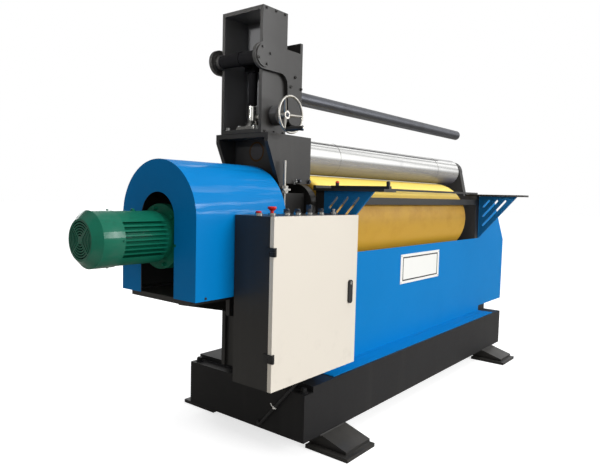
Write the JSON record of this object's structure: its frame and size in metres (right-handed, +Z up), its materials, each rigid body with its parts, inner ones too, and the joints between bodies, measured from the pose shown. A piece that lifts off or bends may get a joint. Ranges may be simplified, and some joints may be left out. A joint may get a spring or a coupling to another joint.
{
  "type": "plate rolling machine",
  "caption": "Two-roll plate rolling machine: a thin steel roll over a large polyurethane roll, geared drive, overhead support arm, drop-end yoke and control cabinet",
  "frame": {"origin": "on the floor, under the middle of the lower roll's face, in the plane of both roll axes", "axes": "+X along the rolls from the drive end to the drop end, +Y to the back, +Z up"},
  "size_m": [3.357, 1.053, 1.852],
  "materials": {
    "blue_paint": "satin paint",
    "black_paint": "satin paint",
    "cream_paint": "textured paint",
    "green_paint": "machine enamel",
    "ground_steel": "ground",
    "dark_steel": "turned",
    "polyurethane": "cast and turned",
    "bronze": "turned",
    "red_plastic": "moulded",
    "black_plastic": "moulded",
    "chrome": "polished",
    "white_plate": "coated",
    "grey_plastic": "extruded"
  },
  "bodies": {
    "machine_frame": {"base_frame": "black_paint", "base_top_plate": "black_paint", "wedge_feet": "black_paint", "housing_cheeks": "black_paint", "housing_ties": "black_paint", "upper_chock": "black_paint", "upper_bush": "bronze", "lift_cylinders": "black_paint", "right_housing": "black_paint", "yoke_pin": "dark_steel", "tower_cheeks": "black_paint", "tower_ties": "black_paint", "jack_housing": "ground_steel", "drive_cover": "blue_paint", "drive_platform": "black_paint", "front_panel": "blue_paint", "rear_panel": "blue_paint", "drop_guard": "blue_paint", "blank_plate": "white_plate", "table_gussets": "blue_paint", "table_shelves": "black_paint", "table_frame": "black_paint", "side_guide": "dark_steel", "limit_rod": "dark_steel", "cabinet_body": "black_paint", "hinge_body_leaves": "black_plastic", "cabinet_brackets": "black_paint", "control_gear": "grey_plastic", "console_bezels": "chrome", "cable_conduit": "grey_plastic"},
    "lower_carriage": {"left_chock": "black_paint", "right_chock": "black_paint", "lower_bushes": "bronze", "lift_rams": "chrome", "reducer": "green_paint", "motor_body": "green_paint", "fan_cowl": "green_paint"},
    "lower_roll": {"lower_roll_core": "dark_steel", "roll_sleeve": "polyurethane"},
    "upper_roll": {"upper_roll": "ground_steel"},
    "motor_fan": {"motor_fan": "black_plastic"},
    "drop_yoke": {"drop_yoke": "black_paint", "yoke_bush": "bronze"},
    "support_arm": {"arm_cheeks": "black_paint", "arm_end_plate": "black_paint", "support_rod": "dark_steel", "pivot_shaft": "dark_steel", "pivot_caps": "black_paint"},
    "jack_spindle": {"jack_spindle": "dark_steel"},
    "handwheel": {"handwheel": "chrome"},
    "handle_grip": {"handle_grip": "black_plastic"},
    "cabinet_door": {"cabinet_door": "cream_paint", "hinge_door_leaves": "black_plastic"},
    "lock_handle": {"lock_handle": "black_plastic"},
    "red_button": {"red_button": "red_plastic"},
    "estop_button": {"estop_button": "red_plastic"},
    "selector_1": {"selector_1": "black_plastic"},
    "selector_2": {"selector_2": "black_plastic"},
    "selector_3": {"selector_3": "black_plastic"},
    "speed_knob": {"speed_knob": "black_plastic"}
  },
  "joints": [
    {"name": "carriage_lift", "type": "slide", "parent": "machine_frame", "child": "lower_carriage", "axis": [0, 0, 1], "range_m": [-0.06, 0]},
    {"name": "lower_roll_turn", "type": "hinge", "parent": "lower_carriage", "child": "lower_roll", "pos_m": [0, 0, 0.948], "axis": [1, 0, 0], "continuous": true},
    {"name": "upper_roll_turn", "type": "hinge", "parent": "machine_frame", "child": "upper_roll", "pos_m": [0, 0, 1.266], "axis": [1, 0, 0], "continuous": true},
    {"name": "motor_fan_turn", "type": "hinge", "parent": "lower_carriage", "child": "motor_fan", "pos_m": [-1.78, 0, 0.914], "axis": [1, 0, 0], "continuous": true},
    {"name": "yoke_drop", "type": "hinge", "parent": "machine_frame", "child": "drop_yoke", "pos_m": [1.013, 0, 0.626], "axis": [0, 1, 0], "range_deg": [0, 50]},
    {"name": "arm_tilt", "type": "hinge", "parent": "machine_frame", "child": "support_arm", "pos_m": [-1.14, 0, 1.643], "axis": [0, -1, 0], "range_deg": [-3, 8]},
    {"name": "jack_slide", "type": "slide", "parent": "machine_frame", "child": "jack_spindle", "axis": [0, 0, 1], "range_m": [-0.0043, 0.0113]},
    {"name": "wheel_turn", "type": "hinge", "parent": "machine_frame", "child": "handwheel", "pos_m": [-1.048, -0.2, 1.412], "axis": [0, 1, 0], "range_deg": [-378, 1008]},
    {"name": "grip_turn", "type": "hinge", "parent": "handwheel", "child": "handle_grip", "pos_m": [-1.0855, -0.24, 1.34705], "axis": [0, 1, 0], "continuous": true},
    {"name": "door_swing", "type": "hinge", "parent": "machine_frame", "child": "cabinet_door", "pos_m": [-1.372, -0.421, 0.7], "axis": [0, 0, -1], "range_deg": [0, 100]},
    {"name": "lock_turn", "type": "hinge", "parent": "cabinet_door", "child": "lock_handle", "pos_m": [-0.886, -0.42, 0.717], "axis": [0, -1, 0], "range_deg": [0, 90]},
    {"name": "red_button_press", "type": "slide", "parent": "machine_frame", "child": "red_button", "axis": [0, 0, -1], "range_m": [0, 0.004], "stiffness_N_per_m": 600, "springref_m": -0.002},
    {"name": "estop_press", "type": "slide", "parent": "machine_frame", "child": "estop_button", "axis": [0, 0, -1], "range_m": [0, 0.005], "stiffness_N_per_m": 900, "springref_m": -0.003},
    {"name": "selector_1_turn", "type": "hinge", "parent": "machine_frame", "child": "selector_1", "pos_m": [-1.19202, -0.318, 1.002], "axis": [0, 0, 1], "range_deg": [-45, 45]},
    {"name": "selector_2_turn", "type": "hinge", "parent": "machine_frame", "child": "selector_2", "pos_m": [-1.12506, -0.318, 1.002], "axis": [0, 0, 1], "range_deg": [-45, 45]},
    {"name": "selector_3_turn", "type": "hinge", "parent": "machine_frame", "child": "selector_3", "pos_m": [-0.97224, -0.318, 1.002], "axis": [0, 0, 1], "range_deg": [-45, 45]},
    {"name": "speed_knob_turn", "type": "hinge", "parent": "machine_frame", "child": "speed_knob", "pos_m": [-1.05, -0.318, 1.002], "axis": [0, 0, 1], "range_deg": [-135, 135]}
  ],
  "couplings": [
    {"joint": "upper_roll_turn", "follows": "lower_roll_turn", "ratio": -2.6744},
    {"joint": "motor_fan_turn", "follows": "lower_roll_turn", "ratio": 60},
    {"joint": "jack_slide", "follows": "arm_tilt", "m_per_rad": 0.08},
    {"joint": "wheel_turn", "follows": "arm_tilt", "ratio": 125.66}
  ]
}
